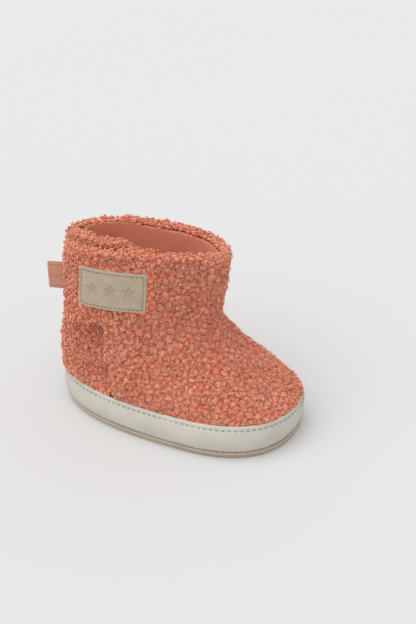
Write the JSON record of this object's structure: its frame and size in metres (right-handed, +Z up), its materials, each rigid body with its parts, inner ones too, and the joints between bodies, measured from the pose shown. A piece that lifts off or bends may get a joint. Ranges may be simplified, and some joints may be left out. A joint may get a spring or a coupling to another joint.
{
  "type": "baby bootie",
  "caption": "Soft baby bootie in curly teddy fleece with a hook-and-loop side flap, pull tab, stitched leather rand and suede sole.",
  "frame": {"origin": "on the ground, in the plane of the outsole's flat underside, under the middle of the foot", "axes": "+X towards the toe, +Z up, -Y towards the outer side with the strap and label"},
  "size_m": [0.1277, 0.0698, 0.0959],
  "materials": {
    "fleece": "curly teddy pile",
    "wadding": "soft matte",
    "jersey": "brushed jersey",
    "rand_leather": "satin grained leather",
    "sole_suede": "brushed suede",
    "board": "matte non-woven board",
    "foam": "matte foam",
    "cream_thread": "twisted thread",
    "coral_thread": "twisted thread",
    "label_thread": "twisted thread",
    "label_suede": "brushed suede",
    "grosgrain": "ribbed tape",
    "hook_tape": "woven hook tape",
    "loop_tape": "brushed loop tape"
  },
  "bodies": {
    "boot": {"outsole": "sole_suede", "insole_board": "board", "sole_foam": "foam", "footbed": "jersey", "rand": "rand_leather", "rand_stitching": "cream_thread", "outsole_stitching": "cream_thread", "vamp_fleece": "fleece", "vamp_padding": "wadding", "vamp_lining": "jersey", "heel_fleece": "fleece", "heel_padding": "wadding", "heel_lining": "jersey", "loop_tape": "loop_tape", "loop_tape_stitching": "coral_thread"},
    "underlap": {"underlap_fleece": "fleece", "underlap_padding": "wadding", "underlap_lining": "jersey"},
    "strap": {"strap_fleece": "fleece", "strap_padding": "wadding", "strap_lining": "jersey", "hook_tape": "hook_tape", "hook_tape_stitching": "coral_thread", "label_patch": "label_suede", "label_stitching": "label_thread"},
    "tab": {"pull_tab": "grosgrain"}
  },
  "joints": [
    {"name": "strap_swing", "type": "hinge", "parent": "boot", "child": "strap", "pos_m": [-0.022, -0.0375, 0.023], "axis": [0.3611, 0.2442, 0.9], "range_deg": [0, 100]},
    {"name": "underlap_fold", "type": "hinge", "parent": "boot", "child": "underlap", "pos_m": [-0.0217, -0.018, 0.025], "axis": [0, 0.085, 0.9964], "range_deg": [0, 25]},
    {"name": "pull_tab_flop", "type": "hinge", "parent": "strap", "child": "tab", "pos_m": [-0.0519, -0.0206, 0.072], "axis": [0, 0, 1], "range_deg": [-20, 20]}
  ]
}
